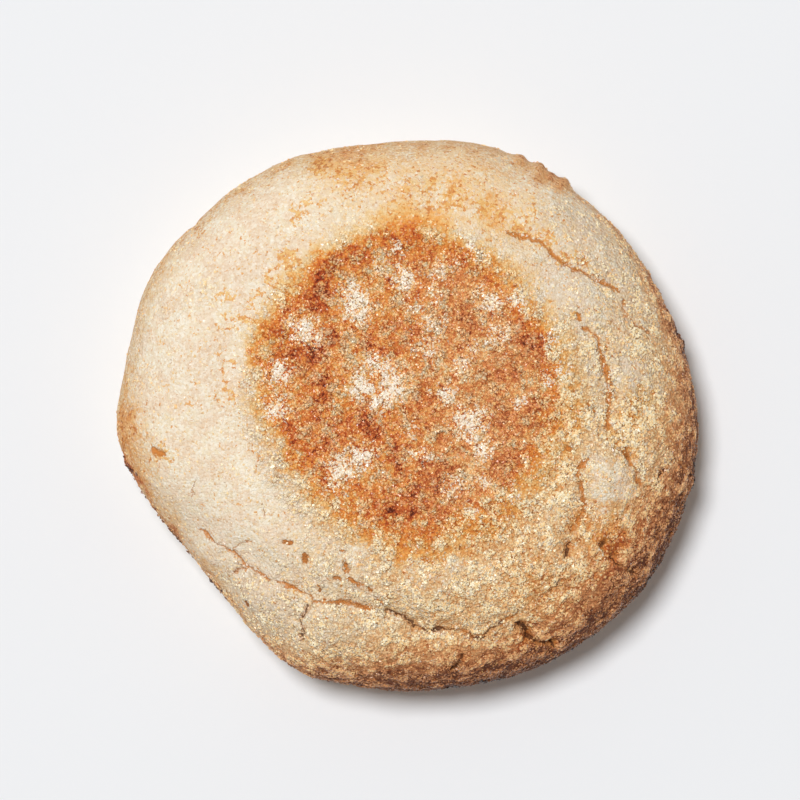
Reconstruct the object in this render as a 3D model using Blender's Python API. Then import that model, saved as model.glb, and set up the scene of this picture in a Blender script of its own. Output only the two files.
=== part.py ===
"""One hand-shaped English muffin, baked on a griddle on both faces, as one closed solid.

Metres, +Z up. The muffin lies on the wide face that was baked first. The origin is on the
surface it rests on, under the middle of its outline's box. Bearings are degrees, measured
anticlockwise from +X as seen from above.
"""

import math

import bmesh
import bpy
from mathutils import Vector

MM = 0.001

# Driving dimensions, in millimetres unless a name says otherwise.
HEIGHT = 30.0
MEAN_RADIUS = 51.0
LONG_BEARING = 335.0  # the muffin is a little longer this way
LONG_SIDE_PUSH = 1.0  # and sits out this much further on that one side
OVALITY = 1.15
PRESSED_BEARING = 219.0  # the flank that a neighbour pressed straight
PRESSED_DISTANCE = 46.4
PRESSED_CORNER = 1.6  # how softly that straight flank turns into the round
# Swells and hollows of the outline: bearing, half width in degrees, push.
OUTLINE_SWELLS = (
    (184.0, 8.0, 1.6),
    (152.0, 9.0, 0.9),
    (96.0, 16.0, -1.1),
    (74.0, 9.0, 0.9),
    (20.0, 16.0, -0.9),
    (248.0, 8.0, 0.8),
    (283.0, 20.0, -0.9),
)

WAIST_HEIGHT = 11.0  # height of the widest level
BASE_SHARE = 0.87  # reach of the flat underside, as a share of the outline's radius
BASE_SHARE_PRESSED = 0.945  # the same on the pressed flank, which is steep
DOME_EXTRA = 1.3  # how far the dome would rise above the griddle-pressed spot
DOME_FULLNESS = 3.3  # a higher power keeps the top flat further out
DOME_SHOULDER = 2.05

# The spot that the griddle pressed flat when the muffin was turned over.
SPOT_CENTRE = (0.8, 4.5)
SPOT_SAG = 0.35
SPOT_BLEND = 1.1
SPOT_LIP_RADIUS = 31.5
SPOT_LIP_WIDTH = 3.0
SPOT_LIP_DEPTH = 0.5

# Folds in the dough of the shoulder: half width, depth, and the points they run through.
FOLDS = (
    (3.2, 1.3, ((-44, -16), (-37, -21), (-27, -27), (-17, -32.5), (-7, -35), (3, -38), (14, -41))),
    (2.8, 1.0, ((13, 34), (22, 31.5), (29, 28), (36, 22.5), (42, 16))),
    (2.6, 0.9, ((33, 14), (36.5, 7), (36, -1), (39, -7), (43, -13))),
    (2.4, 0.7, ((31, -9), (32, -16), (29.5, -24), (27, -30))),
    (3.5, 0.5, ((-33, 1), (-33.5, 9), (-32.5, 17), (-30, 26))),
    (2.6, 0.8, ((19, -33), (21, -38.5), (27, -43))),
)
FOLD_FADE = 8.0  # a fold dies out over this length at each end

# Broad lobes of dough between the folds: x, y, half width, rise.
LOBES = (
    (36.0, -10.5, 6.0, 0.8),
    (-15.0, -41.0, 9.0, 1.0),
    (6.0, -31.0, 9.0, 0.5),
    (25.0, 33.0, 8.0, 0.7),
    (38.0, 14.0, 7.0, 0.6),
    (-38.0, 10.0, 9.0, 0.7),
    (-26.0, 31.0, 10.0, 0.4),
    (-31.0, -15.0, 8.0, 0.5),
    (28.0, -27.0, 7.0, 0.5),
    (2.0, 40.0, 9.0, 0.5),
)

# The mesh: spokes round the muffin and levels from the top's middle to the underside's.
SPOKES = 96
LEVELS = 46
TOP_SHARE = 0.62  # share of the levels that lie on the top
FLANK_SHARE = 0.24  # and on the flank under the waist
RIM_CROWDING = 0.62  # under 1 brings the top's levels closer together at the rim

CRUST_COLOUR = (0.77, 0.57, 0.37, 1.0)
CRUST_ROUGHNESS = 0.85


def clear_scene():
    for thing in list(bpy.data.objects):
        bpy.data.objects.remove(thing, do_unlink=True)


def bell(distance, half_width):
    return math.exp(-((distance / half_width) ** 2))


def turn_between(bearing, other):
    """Signed turn in degrees from one bearing to another, -180 to 180."""
    return (bearing - other + 180.0) % 360.0 - 180.0


def soft_least(a, b, blend):
    """The lesser of two lengths, rounded off where they cross."""
    return 0.5 * (a + b - math.hypot(a - b, blend))


def outline_radius(bearing):
    """Distance from the middle to the outline seen from above."""
    along = math.radians(bearing - LONG_BEARING)
    radius = MEAN_RADIUS + LONG_SIDE_PUSH * math.cos(along) + OVALITY * math.cos(2.0 * along)
    for centre, half_width, push in OUTLINE_SWELLS:
        radius += push * bell(turn_between(bearing, centre), half_width)
    off_flank = math.radians(turn_between(bearing, PRESSED_BEARING))
    if math.cos(off_flank) > 0.5:
        radius = soft_least(radius, PRESSED_DISTANCE / math.cos(off_flank), PRESSED_CORNER)
    return radius


def base_share(bearing):
    """Reach of the underside as a share of the outline's radius."""
    steep = bell(turn_between(bearing, PRESSED_BEARING), 28.0)
    return BASE_SHARE + (BASE_SHARE_PRESSED - BASE_SHARE) * steep


def distance_to_run(point, run):
    """Distance from a point to a fold, and how far the nearest place is from the fold's ends."""
    best, best_along, length = math.inf, 0.0, 0.0
    for start, end in zip(run, run[1:]):
        a, b = Vector(start), Vector(end)
        step = b - a
        share = min(1.0, max(0.0, (point - a).dot(step) / step.length_squared))
        distance = (point - a - share * step).length
        if distance < best:
            best, best_along = distance, length + share * step.length
        length += step.length
    return best, min(best_along, length - best_along)


def fold_depth(point):
    depth = 0.0
    for half_width, full_depth, run in FOLDS:
        distance, from_end = distance_to_run(point, run)
        depth += full_depth * bell(distance, half_width) * min(1.0, from_end / FOLD_FADE)
    return depth


def lobe_rise(point):
    return sum(rise * bell((point - Vector((x, y))).length, reach) for x, y, reach, rise in LOBES)


def top_height(point, share):
    """Height of the crust above a point, where share is its place from middle (0) to outline (1)."""
    full = HEIGHT + DOME_EXTRA - WAIST_HEIGHT
    dome = WAIST_HEIGHT + full * max(0.0, 1.0 - share**DOME_FULLNESS) ** (1.0 / DOME_SHOULDER)
    from_spot = (point - Vector(SPOT_CENTRE)).length
    pressed = HEIGHT - SPOT_SAG * bell(from_spot, SPOT_LIP_RADIUS * 0.6)
    height = soft_least(dome, pressed, SPOT_BLEND)
    # Folds and lobes die away towards the rim, so that they leave the outline alone.
    on_top = 1.0 - share**12
    height += on_top * (lobe_rise(point) * min(1.0, from_spot / SPOT_LIP_RADIUS) ** 4 - fold_depth(point))
    return height - SPOT_LIP_DEPTH * bell(from_spot - SPOT_LIP_RADIUS, SPOT_LIP_WIDTH) * on_top


def crust_point(bearing, level):
    """A point of the skin: level runs from 0 at the top's middle to 1 at the underside's."""
    radius = outline_radius(bearing)
    way = Vector((math.cos(math.radians(bearing)), math.sin(math.radians(bearing))))
    if level <= TOP_SHARE:
        share = math.sin(0.5 * math.pi * level / TOP_SHARE) ** (1.0 / (1.0 + RIM_CROWDING))
        share = level / TOP_SHARE * (1.0 - RIM_CROWDING) + share * RIM_CROWDING
        place = way * radius * share
        return Vector((place.x, place.y, top_height(place, share)))
    reach = base_share(bearing)
    if level <= TOP_SHARE + FLANK_SHARE:
        turn = 0.5 * math.pi * (level - TOP_SHARE) / FLANK_SHARE
        share = reach + (1.0 - reach) * math.cos(turn) ** 0.9
        place = way * radius * share
        return Vector((place.x, place.y, WAIST_HEIGHT * (1.0 - math.sin(turn))))
    share = reach * (1.0 - level) / (1.0 - TOP_SHARE - FLANK_SHARE)
    place = way * radius * share
    return Vector((place.x, place.y, 0.0))


def shaped_mesh():
    """A sphere of spokes and levels, each of whose points is moved onto the muffin's skin."""
    shape = bmesh.new()
    bmesh.ops.create_uvsphere(shape, u_segments=SPOKES, v_segments=LEVELS, radius=1.0)
    for vertex in shape.verts:
        x, y, z = vertex.co.normalized()
        level = math.acos(max(-1.0, min(1.0, z))) / math.pi
        vertex.co = crust_point(math.degrees(math.atan2(y, x)) % 360.0, level)
    lows = [min(vertex.co[axis] for vertex in shape.verts) for axis in range(3)]
    highs = [max(vertex.co[axis] for vertex in shape.verts) for axis in range(3)]
    middle = Vector(((lows[0] + highs[0]) / 2.0, (lows[1] + highs[1]) / 2.0, lows[2]))
    for vertex in shape.verts:
        vertex.co = (vertex.co - middle) * MM
    mesh = bpy.data.meshes.new("english_muffin")
    shape.to_mesh(mesh)
    shape.free()
    mesh.shade_smooth()
    return mesh


def baked_crust():
    material = bpy.data.materials.new("baked_crust")
    material.use_nodes = True
    shader = material.node_tree.nodes["Principled BSDF"]
    shader.inputs["Base Color"].default_value = CRUST_COLOUR
    shader.inputs["Roughness"].default_value = CRUST_ROUGHNESS
    shader.inputs["Metallic"].default_value = 0.0
    return material


def english_muffin():
    muffin = bpy.data.objects.new("english_muffin", shaped_mesh())
    muffin.data.materials.append(baked_crust())
    bpy.context.scene.collection.objects.link(muffin)


clear_scene()
english_muffin()
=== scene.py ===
import math

import bpy
import numpy as np
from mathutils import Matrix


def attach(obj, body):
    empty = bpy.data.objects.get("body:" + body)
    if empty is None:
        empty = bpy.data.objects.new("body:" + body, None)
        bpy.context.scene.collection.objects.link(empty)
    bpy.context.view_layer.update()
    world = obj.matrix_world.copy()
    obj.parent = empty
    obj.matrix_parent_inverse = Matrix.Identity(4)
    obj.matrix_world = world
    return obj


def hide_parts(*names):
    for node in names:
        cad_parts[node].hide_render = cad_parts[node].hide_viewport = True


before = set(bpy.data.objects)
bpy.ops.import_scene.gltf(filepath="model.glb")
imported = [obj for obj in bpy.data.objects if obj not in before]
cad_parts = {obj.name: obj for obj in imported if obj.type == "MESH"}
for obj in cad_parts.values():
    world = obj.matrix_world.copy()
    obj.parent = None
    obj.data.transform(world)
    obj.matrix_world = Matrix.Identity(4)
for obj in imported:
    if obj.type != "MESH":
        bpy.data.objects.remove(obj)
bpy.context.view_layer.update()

# The dough: one round of soft wheat dough, shaped by hand, proved, and baked on a griddle on both
# faces. Its skin is made fine enough here to carry the lumps, splits and pits that baking left in
# it. All sizes are in mm, unless they say otherwise.
MM = 0.001
SKIN_PITCH = 0.26  # between points of the skin before it is thinned out
RELAX_ROUNDS = 45


def relax(places, edges, rounds):
    """Rounds off a skin by moving each point halfway to the middle of its neighbours."""
    first, second = edges.T
    partners = np.bincount(edges.ravel(), minlength=len(places))[:, None]
    for _ in range(rounds):
        pull = np.empty_like(places)
        for axis in range(3):
            along = places[:, axis]
            pull[:, axis] = np.bincount(first, along[second], len(places))
            pull[:, axis] += np.bincount(second, along[first], len(places))
        places = 0.5 * (places + pull / partners)
    return places


def finished(thing):
    """The object's mesh as its modifiers leave it, in place of the old one."""
    graph = bpy.context.evaluated_depsgraph_get()
    made = bpy.data.meshes.new_from_object(thing.evaluated_get(graph))
    thing.modifiers.clear()
    thing.data = made
    return made


def read(mesh, group, field, kind, width=1):
    """A mesh's values of one field, as an array with a row for each element."""
    values = np.empty(len(getattr(mesh, group)) * width, kind)
    getattr(mesh, group).foreach_get(field, values)
    return values.reshape(-1, width) if width > 1 else values


def points_of(mesh):
    return read(mesh, "vertices", "co", np.float32, 3).astype(float) / MM


def put_points(mesh, places):
    mesh.vertices.foreach_set("co", (places * MM).ravel().astype(np.float32))
    mesh.update()


crust = bpy.data.objects.new("crust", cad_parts["english_muffin"].data.copy())
bpy.context.scene.collection.objects.link(crust)
crust.data.materials.clear()
even_skin = crust.modifiers.new("even skin", "REMESH")
even_skin.mode = "VOXEL"
even_skin.voxel_size = SKIN_PITCH * MM
skin = finished(crust)
skin_edges = read(skin, "edges", "vertices", np.int32, 2)
places = relax(points_of(skin), skin_edges, RELAX_ROUNDS)
put_points(skin, places)
facing = read(skin, "vertices", "normal", np.float32, 3).astype(float)


def bearing_of(places):
    return np.degrees(np.arctan2(places[:, 1], places[:, 0])) % 360.0


outline = np.zeros(360)
np.maximum.at(outline, bearing_of(places).astype(int) % 360, np.hypot(places[:, 0], places[:, 1]))


# The splits: where the shoulder of the dough tore open as it rose. The newly opened dough beside a
# split baked orange, and the bottom of a deep one is painted dark, as shade. Popped bubbles left
# short wide tears, and where the skin held it folded into soft creases.
KNEAD_SEED = 11
knead = np.random.default_rng(KNEAD_SEED)
LATTICE_WAYS = knead.normal(size=(512, 3))
LATTICE_WAYS /= np.linalg.norm(LATTICE_WAYS, axis=1)[:, None]


def unevenness(places, lump, layer):
    """Smooth unevenness from about -1 to 1, in lumps of one size. Each layer is a pattern of its own."""
    spots = places / lump + 31.7 * layer
    corner = np.floor(spots).astype(np.int64)
    inside = spots - corner
    fade = inside**3 * (inside * (inside * 6.0 - 15.0) + 10.0)
    total = np.zeros(len(places))
    for i in (0, 1):
        for j in (0, 1):
            for k in (0, 1):
                x, y, z = (corner + (i, j, k)).T
                # Large primes, so that neighbouring corners lean in ways that have nothing in common.
                way = LATTICE_WAYS[(x * 73856093 ^ y * 19349663 ^ z * 83492791 ^ layer * 7919) & 511]
                reach = np.einsum("ij,ij->i", way, inside - (i, j, k))
                share = np.where((i, j, k), fade, 1.0 - fade).prod(axis=1)
                total += share * reach
    return total * 1.7


def ramp(value, low, high):
    """0 below low, 1 above high, smooth between."""
    share = np.clip((value - low) / (high - low), 0.0, 1.0)
    return share * share * (3.0 - 2.0 * share)


def above(places):
    """1 on the top and its shoulder, 0 on the flank and the underside."""
    return ramp(places[:, 2], 12.0, 15.0)


def ragged(places, wander, size, layer):
    """Places shifted at random in plan, so that what is laid out by them gets a ragged edge."""
    shifted = places.copy()
    for axis in (0, 1):
        shifted[:, axis] += wander * unevenness(places, size, layer + axis)
        shifted[:, axis] += 0.45 * wander * unevenness(places, 0.4 * size, layer + 2 + axis)
    return shifted


# For each split: half width, depth, how orange its edges are, how dark its bottom is painted, as
# shade, and its run.
SPLITS = (
    (0.16, 0.35, 1.0, 0.3, ((17.2, 32.7), (19.6, 32), (21.9, 31.6), (24.1, 30.7), (25.7, 29),
        (27.9, 27.1), (30.6, 25.6), (33.5, 24.2), (36.1, 23), (38.4, 21.8))),
    (0.21, 0.45, 1.0, 0.4, ((38.5, 21.0), (38.8, 19.0), (39.4, 17.4), (40.8, 16.0), (43.4, 14.4))),
    (0.22, 0.42, 1.0, 0.3, ((30.2, 16.1), (31.5, 15.3), (34, 13.9), (34.2, 11.2), (35.1, 9.4),
        (35.7, 7.1), (36.3, 5.6), (35.9, 2.7), (35.5, 0), (35.8, -2.2), (37, -3.5))),
    (0.20, 0.45, 0.9, 0.5, ((36.1, -5.7), (39.3, -6.7), (40.2, -8.9), (41.1, -10.8), (42, -12.8))),
    (0.20, 0.50, 0.6, 0.95, ((41.6, -12.2), (42.6, -12.9), (44.3, -12.6), (45, -11), (46.3, -9.6),
        (47.5, -8.2), (49, -8.4), (50.2, -9.6))),
    (0.17, 0.40, 0.8, 0.4, ((32.6, -7.1), (31.5, -8.4), (30.3, -9.7), (30.6, -11.5), (31.5, -15.1),
        (31.4, -16.9), (30.3, -18.8), (29, -20.6), (28.8, -21.3))),
    (0.22, 0.45, 0.4, 1.1, ((29.3, -22.4), (28.7, -23.8), (28.0, -25.6))),
    (0.09, 0.30, 0.3, 0.7, ((27.1, -28), (26.9, -30.2), (25, -31.8), (22.6, -32.7))),
    (0.20, 0.50, 0.4, 1.1, ((35.8, -24.6), (37.2, -26.0), (39.5, -27.7), (41.4, -28.8))),
    (0.14, 0.40, 0.8, 0.4, ((-38.9, -19), (-36.2, -20.4), (-34.1, -22.2), (-30.8, -24.2), (-29.3, -26),
        (-27.5, -27.5), (-24.5, -28.9), (-20.8, -30.2), (-17.6, -31.8), (-16.5, -32.9), (-14.3, -33.4),
        (-10.1, -33.3), (-7.4, -34), (-3.7, -35))),
    (0.24, 0.60, 0.5, 0.95, ((-7.4, -34), (-3.7, -35), (-0.5, -36), (1.7, -37.7), (3.7, -38.6),
        (7, -38.2), (10.2, -38.4), (11.9, -39.5), (13.7, -39.6), (15.2, -38.4), (16.6, -37.5),
        (18.9, -35.9), (19.6, -35.1), (19.4, -33.4))),
    (0.36, 0.95, 0.6, 1.1, ((19.4, -36.8), (20.8, -38.2), (21.5, -38.9), (21.9, -40), (24.1, -40.7),
        (25.9, -40.7), (26.8, -42))),
    (0.24, 0.60, 0.3, 1.1, ((9.9, -42.2), (9.5, -43.3), (8.8, -44.8), (7.5, -45.6))),
    (0.10, 0.30, 0.4, 0.5, ((-31.2, -23.8), (-30, -23.1), (-28.8, -22.7), (-27.2, -22.7))),
    (0.10, 0.30, 0.4, 0.5, ((-31.4, -28.6), (-30, -27.5), (-27.9, -27), (-26.1, -28.4), (-23.6, -29.1))),
    (0.17, 0.50, 0.4, 1.0, ((-17.4, -33.3), (-17.9, -34.8), (-18.6, -36.9), (-18.4, -38.6),
        (-19, -40.4))),
    (0.08, 0.20, 0.3, 0.5, ((-37.2, -11.3), (-37.9, -12.9), (-38.2, -15.1), (-38.7, -16.7))),
    (0.07, 0.20, 0.3, 0.5, ((-23.2, -14.2), (-24.5, -15.3), (-25.4, -16.7), (-25.5, -18.4))),
)
# The tears, in the same way.
TEARS = (
    (0.60, 0.7, 1.0, 0.0, ((-45.1, -6.2), (-43.9, -6.8))),
    (0.35, 0.5, 0.8, 0.5, ((-21.5, -22.6), (-20.7, -22.5))),
    (0.55, 0.7, 0.9, 0.6, ((-18.4, -25), (-18.1, -26))),
    (0.30, 0.5, 0.6, 0.5, ((-11.5, -23.9), (-11, -24))),
    (0.28, 0.5, 0.6, 0.6, ((-12.7, -28.8), (-11.7, -29.1))),
    (0.25, 0.5, 0.6, 0.6, ((-15.6, -30.2), (-15.5, -31.1))),
    (0.42, 0.6, 0.8, 0.5, ((-10.4, -28.8), (-9.3, -29.8), (-7.8, -30.4))),
    (0.26, 0.5, 0.6, 0.5, ((-6.8, -30.9), (-6.3, -31.3))),
    (0.55, 0.7, 0.9, 0.3, ((-4.9, -32.6), (-4.2, -33.6))),
    (0.34, 0.5, 0.7, 0.4, ((-11.2, -26.3), (-10.5, -27.8))),
    (0.24, 0.5, 0.7, 0.6, ((0.8, -22.7), (1.2, -22.8))),
    (0.18, 0.4, 0.6, 0.6, ((9.4, -23.4), (9.6, -23.6))),
    (0.50, 0.8, 0.9, 1.0, ((34.8, -23.2), (35.5, -22.3))), (0.25, 0.4, 0.8, 0.2, ((32, 2.2), (32.4, 1.7))),
    (0.25, 0.4, 0.8, 0.2, ((33.1, 1.1), (33.5, 0.7))), (0.36, 0.5, 0.8, 0.2, ((28.4, -5.5), (28.9, -6))),
    (0.34, 0.5, 0.9, 0.1, ((30.2, 18), (30.4, 17.2))),
    (0.30, 0.5, 0.5, 0.6, ((-28.1, -32.9), (-27.8, -33.3))),
    (0.20, 0.4, 0.4, 0.8, ((19.8, -11.1), (20, -11.5))),
    (0.26, 0.5, 0.4, 0.9, ((21.8, -39.6), (21.9, -40.2))),
)
# How far along its run each tapers to its ends, and how deep the skin dips on both sides of it.
OPENINGS = (("split", SPLITS, 0.1, 0.7), ("tear", TEARS, 0.0, 0.0))
# For each crease: half width, depth and run.
CREASES = (
    (0.8, 0.30, ((36.3, -26), (33.7, -28), (31.2, -29.5), (27.6, -30.7), (24.6, -32.2), (21.9, -34))),
    (0.6, 0.25, ((39, -28.8), (37.5, -30.7), (36.1, -33.3))),
    (0.6, 0.25, ((41.5, -25.8), (39.7, -27.9), (38.3, -31.1))),
    (0.7, 0.20, ((-32.1, 13.9), (-32.6, 8.9), (-33.1, 4), (-33.6, 0.5))),
    (0.9, 0.20, ((11.8, 35.6), (17.8, 34.6), (23.7, 32.1), (30.6, 27.2))),
    (0.7, 0.20, ((44, -2.9), (45.9, -4.9), (48.4, -5.9))),
    (0.7, 0.22, ((29.6, -35.5), (32.6, -33.1), (34.6, -30.6))),
    (0.6, 0.20, ((7.9, -41.5), (12.8, -42.9), (16.8, -42.5))),
)


def beside_run(places, run):
    """Distance of each place from a run of straight steps, its side of it, and its share along it."""
    nearest = np.full(len(places), 1e9)
    side = np.ones(len(places))
    along = np.zeros(len(places))
    lengths = [math.dist(start, end) for start, end in zip(run, run[1:])]
    gone = 0.0
    for start, end, length in zip(run, run[1:], lengths):
        step = np.subtract(end, start)
        away = places[:, :2] - start
        share = np.clip(away @ step / length**2, 0.0, 1.0)
        distance = np.hypot(*(away - share[:, None] * step).T)
        closer = distance < nearest
        nearest[closer] = distance[closer]
        side[closer] = np.where(step[0] * away[closer, 1] > step[1] * away[closer, 0], 1.0, -1.0)
        along[closer] = (gone + share[closer] * length) / sum(lengths)
        gone += length
    return nearest, side, along


def opened_by(places, splits, taper):
    """For each place the nearest split: signed distance, half width, depth, glow and painted bottom shade.
    """
    fraying = ragged(places, 0.35, 1.6, 10)
    gaping = np.clip(0.95 + 0.8 * unevenness(places, 3.0, 15), 0.5, 1.5)
    beside = np.full(len(places), 9.0)
    here = np.zeros((4, len(places)))
    for half_width, depth, glow, dark, run in splits:
        distance, side, along = beside_run(fraying, run)
        tapered = ramp(along, 0.0, taper) * ramp(1.0 - along, 0.0, taper) if taper else 1.0
        closer = distance < np.abs(beside)
        beside[closer] = (side * distance)[closer] if taper else distance[closer]
        near_run = ramp(1.4 - distance, 0.0, 0.3)
        local = np.stack([half_width * gaping * tapered * near_run, depth * gaping * tapered,
                          glow * gaping, dark * gaping])
        here[:, closer] = local[:, closer]
    return (beside, *(here * above(places)))


# Lumps and grit: the skin is cobbled where it dried and stretched, most on the side towards the
# griddle's edge, and it stays smooth on a few plates of skin that slid without cracking.
# It faces away from the light; the crust is painted browner and less floured towards it, partly as shade.
BARE_SIDE = -42.0  # bearing of the side where least flour stuck
SMOOTH_PLATES = (
    (1, -25, 4, 0.5), (-8, -24, 3, 0.4), (9, -25, 4, 0.4), (-38, -2, 8, 0.5), (34.4, -9.6, 2.4, 0.8),
    (37.4, -10.4, 2.6, 0.8), (34.8, -13.6, 2.8, 0.8), (38.2, -13.8, 2.4, 0.8), (34.6, -17.0, 2.2, 0.7),
    (32.6, 20.8, 4.0, 0.6), (-37.6, 7.9, 9.0, 0.7), (-33.6, -7.9, 9.0, 0.6), (-29.7, 29.7, 8.0, 0.6),
    (-25.7, -17.8, 6.0, 0.5), (39.5, 7.9, 3.0, 0.5), (27.6, 23.7, 4.0, 0.6), (21.7, 21.8, 4.0, 0.3),
)


def bell(distance, half_width):
    return np.exp(-((distance / half_width) ** 2))


def dabbed(places, dabs, near=1.0):
    """Round dabs of (x, y, radius, strength) laid over each other, the strongest on top."""
    total = np.zeros(len(places))
    for x, y, radius, strength in dabs:
        distance = np.hypot(places[:, 0] - x, places[:, 1] - y)
        total = np.maximum(total, strength * bell(distance, radius * near))
    return total


def bareward(places):
    """From -1 to 1 across the muffin, towards its bare side, which faces away from the light."""
    way = math.radians(BARE_SIDE)
    return (places[:, 0] * math.cos(way) + places[:, 1] * math.sin(way)) / 50.0


def cobbled(places):
    """How lumpy and gritty the skin is, from 0 to 1."""
    rough = 0.22 + 0.68 * ramp(bareward(places), -0.25, 0.45) + 0.22 * unevenness(places, 9.0, 16)
    round_the_spot = ramp(32.0 - np.hypot(places[:, 0], places[:, 1] - 4.0), -1.0, 5.0)
    rough = np.maximum(rough, 0.85 * round_the_spot * above(places))
    rough = np.maximum(rough, 0.75 * ramp(-places[:, 1], 20.0, 34.0) * above(places))
    rough *= 1.0 - 0.75 * dabbed(places, SMOOTH_PLATES)
    return np.clip(rough, 0.1, 1.0)


def lumps(places):
    """The lumps themselves, from about -1 to 1, drawn out along the rim."""
    turn = np.radians(bearing_of(places))
    outward = places[:, 0] * np.cos(turn) + places[:, 1] * np.sin(turn)
    drawn = np.stack([outward, turn * 24.0, places[:, 2] * 0.8], axis=1)
    drawn_share = ramp(outward, 30.0, 40.0)
    plain = unevenness(places, 1.5, 17) + 0.6 * unevenness(places, 0.95, 18)
    along_rim = unevenness(drawn, 1.3, 19) + 0.6 * unevenness(places, 0.95, 18)
    return plain + drawn_share * (along_rim - plain)


def clustered(places):
    """From 0 to 1, where grit gathered on the lumps; mostly low."""
    return ramp(lumps(places) + 0.8 * unevenness(places, 2.6, 58), -0.4, 0.9)


WAIST = 11.0  # height of the widest level
# Where the dough swelled out between its splits: x, y, radius, height.
BULGES = (
    (-13.8, -39.2, 5.6, 1.4), (-25.3, -32.8, 4.6, 1.3), (-34, -23, 4.2, 0.8), (-4, -42.5, 4.6, 0.9),
    (9, -43, 5, 0.8), (28, -35.5, 5, 0.6), (37.5, -27, 4.5, 0.5), (42.5, -5, 3.5, 0.5),
    (35.8, -12.3, 4.5, 0.45), (39.5, 5, 4.5, 0.35), (26.5, -26.5, 5.5, 0.4), (32.5, 20, 4, 0.35),
    (5, -30, 7, 0.3), (24, 36, 5, 0.35), (42, 16, 4, 0.4), (-40, -12, 5, 0.3), (-31, 12, 6, -0.25),
)
# What stands out of the outline or is nicked from it: x, y, radius, push.
RIM_KNOBS = (
    (20.4, 45.9, 1.4, 0.9), (23.5, 43.9, 1.5, 1.3), (25.8, 42.6, 1.0, 0.7), (28.0, 41.3, 1.5, 1.2),
    (-38.6, 34.6, 0.9, -0.5), (-51.2, 12.2, 0.9, 0.5), (49.2, 13, 1.1, 0.4), (50.9, -11.9, 1.2, 0.5),
    (-50.4, -8.5, 0.9, 0.4), (-20.5, -43.5, 1.2, 0.4), (42.5, 27.8, 3.0, -0.35),
)
BROAD_SWELL = 0.20
SMALL_SWELL = 0.13
LUMP_HEIGHT = 0.22
KNOB_HEIGHT = 0.12
SPLIT_LIP = 1.9  # how far to each side of a split the skin dips
SKIN_FACES = 197000


def below(places):
    """1 on the flat underside, 0 elsewhere."""
    return ramp(1.6 - places[:, 2], 0.0, 1.2)


rough = cobbled(places)
relief = BROAD_SWELL * unevenness(places, 9.0, 20) + SMALL_SWELL * unevenness(places, 3.6, 21)
relief += rough * (LUMP_HEIGHT * lumps(places) + KNOB_HEIGHT * unevenness(places, 2.4, 22))
for x, y, radius, height in BULGES:
    relief += above(places) * height * bell(np.hypot(places[:, 0] - x, places[:, 1] - y), radius)
for _, group, taper, dip in OPENINGS:
    beside, wide, depth, _, dark = opened_by(places, group, taper)
    relief -= (0.25 + 0.40 * np.clip(dark, 0, 1)) * depth * bell(beside, wide + 0.15)
    relief -= dip * depth * bell(beside, SPLIT_LIP)
for half_width, depth, run in CREASES:
    beside, _, along = beside_run(places, run)
    fold = above(places) * depth * bell(beside, half_width)
    relief -= fold * ramp(along, -0.01, 0.2) * ramp(1.0 - along, -0.01, 0.2)
for x, y, radius, push in RIM_KNOBS:
    near_rim = bell(places[:, 2] - WAIST - 2.0, 5.0)
    relief += push * near_rim * bell(np.hypot(places[:, 0] - x, places[:, 1] - y), radius)
relief *= 1.0 - 0.5 * below(places)

skin.attributes.new("before rising", "FLOAT_VECTOR", "POINT").data.foreach_set(
    "vector", places.ravel().astype(np.float32))
risen = places + facing * relief[:, None]
risen[:, 2] = np.maximum(risen[:, 2], 0.0)
put_points(skin, risen)
thin_out = crust.modifiers.new("thin out", "DECIMATE")
thin_out.ratio = SKIN_FACES / sum(len(face.vertices) - 2 for face in skin.polygons)
skin = finished(crust)
skin.name = "crust"
skin.shade_smooth()
places = np.empty(len(skin.vertices) * 3, np.float32)
skin.attributes["before rising"].data.foreach_get("vector", places)
places = places.reshape(-1, 3).astype(float)

# The griddle spot: where the muffin's top was pressed on the hot plate once it was turned over.
# The plate touched it unevenly, so it is scorched in arcs and pale in between.
SPOT = (0.4, 5.2)  # its middle
SPOT_REACH = 26.9  # its radius
# Swells of the spot's edge: bearing from its middle, half width in degrees, push.
SPOT_SWELLS = (
    (215.0, 26.0, -3.0), (280.0, 24.0, 0.6), (172.0, 16.0, 0.8), (45.0, 26.0, -0.8), (108.0, 28.0, 1.5),
    (92.0, 4.0, 1.6),
)
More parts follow.
